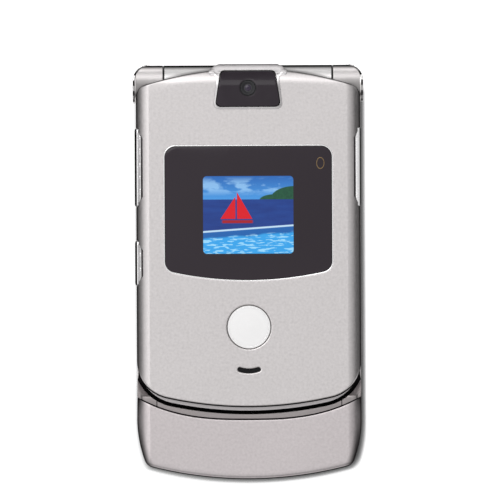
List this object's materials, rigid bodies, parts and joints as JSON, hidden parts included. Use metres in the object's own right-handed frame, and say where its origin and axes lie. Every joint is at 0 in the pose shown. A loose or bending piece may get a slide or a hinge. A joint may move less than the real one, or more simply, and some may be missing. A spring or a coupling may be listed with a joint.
{
  "type": "flip phone",
  "caption": "Slim clamshell mobile phone with a metal flip, outer window and camera pod, keypad base with a thick chin, side keys and a lift-off battery door.",
  "frame": {"origin": "middle of the back face's box, on the surface that the closed phone lies on", "axes": "+X to the right seen from the front of the closed phone, +Y along the phone towards the hinge, +Z out of the flip's outer face"},
  "size_m": [0.0544, 0.098, 0.0139],
  "materials": {
    "cover_aluminium": "satin, fine grained",
    "door_aluminium": "satin, fine grained",
    "base_silver": "satin painted",
    "back_silver": "satin painted",
    "barrel_silver": "satin",
    "pod_silver": "smooth, bright",
    "bezel_silver": "satin painted",
    "badge_metal": "fine turned",
    "key_metal": "brushed, etched legends",
    "side_key_metal": "bright",
    "bright_chrome": "bright",
    "can_steel": "brushed",
    "contact_gold": "bright",
    "soft_dark": "soft touch",
    "dark_plastic": "moulded",
    "mesh_black": "woven",
    "battery_case": "moulded",
    "board_green": "satin",
    "dome_film": "satin",
    "key_mat": "translucent",
    "grey_rubber": "matt",
    "dark_window": "polished",
    "display_glass": "polished"
  },
  "bodies": {
    "base": {"front_housing": "base_silver", "rear_housing": "back_silver", "chin_cover": "cover_aluminium", "aerial_cover": "soft_dark", "aerial_carrier": "dark_plastic", "main_board": "board_green", "shield_can": "can_steel", "dome_sheet": "dome_film", "keypad_mat": "key_mat", "loudspeaker": "dark_plastic", "vibration_motor": "can_steel", "sim_holder": "can_steel", "battery": "battery_case", "battery_contacts": "contact_gold", "charging_socket": "can_steel", "knuckle_caps": "bright_chrome"},
    "flip": {"flip_face": "cover_aluminium", "flip_housing": "base_silver", "hinge_barrel": "barrel_silver", "camera_cover": "pod_silver", "camera_window": "dark_window", "camera_module": "dark_plastic", "outer_window": "dark_window", "outer_display": "display_glass", "badge_disc": "badge_metal", "slot_mesh": "mesh_black", "inner_bezel": "bezel_silver", "inner_window": "dark_window", "main_display": "display_glass", "display_board": "board_green", "earpiece": "dark_plastic", "flip_bumpers": "grey_rubber", "hinge_cartridge": "can_steel"},
    "volume_key": {"volume_key": "side_key_metal"},
    "smart_key": {"smart_key": "side_key_metal"},
    "voice_key": {"voice_key": "side_key_metal"},
    "battery_door": {"battery_door": "door_aluminium"},
    "door_latch": {"door_latch": "back_silver"},
    "soft_key_left": {"soft_key_left": "key_metal"},
    "soft_key_right": {"soft_key_right": "key_metal"},
    "menu_key": {"menu_key": "key_metal"},
    "message_key": {"message_key": "key_metal"},
    "browser_key": {"browser_key": "key_metal"},
    "nav_ring": {"nav_ring": "key_metal"},
    "select_key": {"select_key": "key_metal"},
    "send_key": {"send_key": "key_metal"},
    "clear_key": {"clear_key": "key_metal"},
    "end_key": {"end_key": "key_metal"},
    "key_1": {"key_1": "key_metal"},
    "key_2": {"key_2": "key_metal"},
    "key_3": {"key_3": "key_metal"},
    "key_4": {"key_4": "key_metal"},
    "key_5": {"key_5": "key_metal"},
    "key_6": {"key_6": "key_metal"},
    "key_7": {"key_7": "key_metal"},
    "key_8": {"key_8": "key_metal"},
    "key_9": {"key_9": "key_metal"},
    "key_star": {"key_star": "key_metal"},
    "key_0": {"key_0": "key_metal"},
    "key_hash": {"key_hash": "key_metal"}
  },
  "joints": [
    {"name": "flip_hinge", "type": "hinge", "parent": "base", "child": "flip", "pos_m": [0, 0.0443, 0.00735], "axis": [-1, 0, 0], "range_deg": [0, 160]},
    {"name": "volume_key_rock", "type": "hinge", "parent": "flip", "child": "volume_key", "pos_m": [-0.0252, 0.0246, 0.0106], "axis": [0, 0, 1], "range_deg": [-1.2, 1.2], "stiffness_Nm_per_rad": 0.1},
    {"name": "smart_key_press", "type": "slide", "parent": "flip", "child": "smart_key", "axis": [1, 0, 0], "range_m": [0, 0.0004], "stiffness_N_per_m": 800},
    {"name": "voice_key_press", "type": "slide", "parent": "flip", "child": "voice_key", "axis": [-1, 0, 0], "range_m": [0, 0.0004], "stiffness_N_per_m": 800},
    {"name": "battery_door_lift", "type": "slide", "parent": "base", "child": "battery_door", "axis": [0, 0, -1], "range_m": [0, 0.012]},
    {"name": "door_latch_slide", "type": "slide", "parent": "base", "child": "door_latch", "axis": [0, 1, 0], "range_m": [0, 0.0005], "stiffness_N_per_m": 500},
    {"name": "soft_key_left_press", "type": "slide", "parent": "base", "child": "soft_key_left", "axis": [0, 0, -1], "range_m": [0, 0.00025], "stiffness_N_per_m": 800},
    {"name": "soft_key_right_press", "type": "slide", "parent": "base", "child": "soft_key_right", "axis": [0, 0, -1], "range_m": [0, 0.00025], "stiffness_N_per_m": 800},
    {"name": "menu_key_press", "type": "slide", "parent": "base", "child": "menu_key", "axis": [0, 0, -1], "range_m": [0, 0.00025], "stiffness_N_per_m": 800},
    {"name": "message_key_press", "type": "slide", "parent": "base", "child": "message_key", "axis": [0, 0, -1], "range_m": [0, 0.00025], "stiffness_N_per_m": 800},
    {"name": "browser_key_press", "type": "slide", "parent": "base", "child": "browser_key", "axis": [0, 0, -1], "range_m": [0, 0.00025], "stiffness_N_per_m": 800},
    {"name": "nav_ring_press", "type": "slide", "parent": "base", "child": "nav_ring", "axis": [0, 0, -1], "range_m": [0, 0.00025], "stiffness_N_per_m": 800},
    {"name": "select_key_press", "type": "slide", "parent": "base", "child": "select_key", "axis": [0, 0, -1], "range_m": [0, 0.00025], "stiffness_N_per_m": 800},
    {"name": "send_key_press", "type": "slide", "parent": "base", "child": "send_key", "axis": [0, 0, -1], "range_m": [0, 0.00025], "stiffness_N_per_m": 800},
    {"name": "clear_key_press", "type": "slide", "parent": "base", "child": "clear_key", "axis": [0, 0, -1], "range_m": [0, 0.00025], "stiffness_N_per_m": 800},
    {"name": "end_key_press", "type": "slide", "parent": "base", "child": "end_key", "axis": [0, 0, -1], "range_m": [0, 0.00025], "stiffness_N_per_m": 800},
    {"name": "key_1_press", "type": "slide", "parent": "base", "child": "key_1", "axis": [0, 0, -1], "range_m": [0, 0.00025], "stiffness_N_per_m": 800},
    {"name": "key_2_press", "type": "slide", "parent": "base", "child": "key_2", "axis": [0, 0, -1], "range_m": [0, 0.00025], "stiffness_N_per_m": 800},
    {"name": "key_3_press", "type": "slide", "parent": "base", "child": "key_3", "axis": [0, 0, -1], "range_m": [0, 0.00025], "stiffness_N_per_m": 800},
    {"name": "key_4_press", "type": "slide", "parent": "base", "child": "key_4", "axis": [0, 0, -1], "range_m": [0, 0.00025], "stiffness_N_per_m": 800},
    {"name": "key_5_press", "type": "slide", "parent": "base", "child": "key_5", "axis": [0, 0, -1], "range_m": [0, 0.00025], "stiffness_N_per_m": 800},
    {"name": "key_6_press", "type": "slide", "parent": "base", "child": "key_6", "axis": [0, 0, -1], "range_m": [0, 0.00025], "stiffness_N_per_m": 800},
    {"name": "key_7_press", "type": "slide", "parent": "base", "child": "key_7", "axis": [0, 0, -1], "range_m": [0, 0.00025], "stiffness_N_per_m": 800},
    {"name": "key_8_press", "type": "slide", "parent": "base", "child": "key_8", "axis": [0, 0, -1], "range_m": [0, 0.00025], "stiffness_N_per_m": 800},
    {"name": "key_9_press", "type": "slide", "parent": "base", "child": "key_9", "axis": [0, 0, -1], "range_m": [0, 0.00025], "stiffness_N_per_m": 800},
    {"name": "key_star_press", "type": "slide", "parent": "base", "child": "key_star", "axis": [0, 0, -1], "range_m": [0, 0.00025], "stiffness_N_per_m": 800},
    {"name": "key_0_press", "type": "slide", "parent": "base", "child": "key_0", "axis": [0, 0, -1], "range_m": [0, 0.00025], "stiffness_N_per_m": 800},
    {"name": "key_hash_press", "type": "slide", "parent": "base", "child": "key_hash", "axis": [0, 0, -1], "range_m": [0, 0.00025], "stiffness_N_per_m": 800}
  ]
}
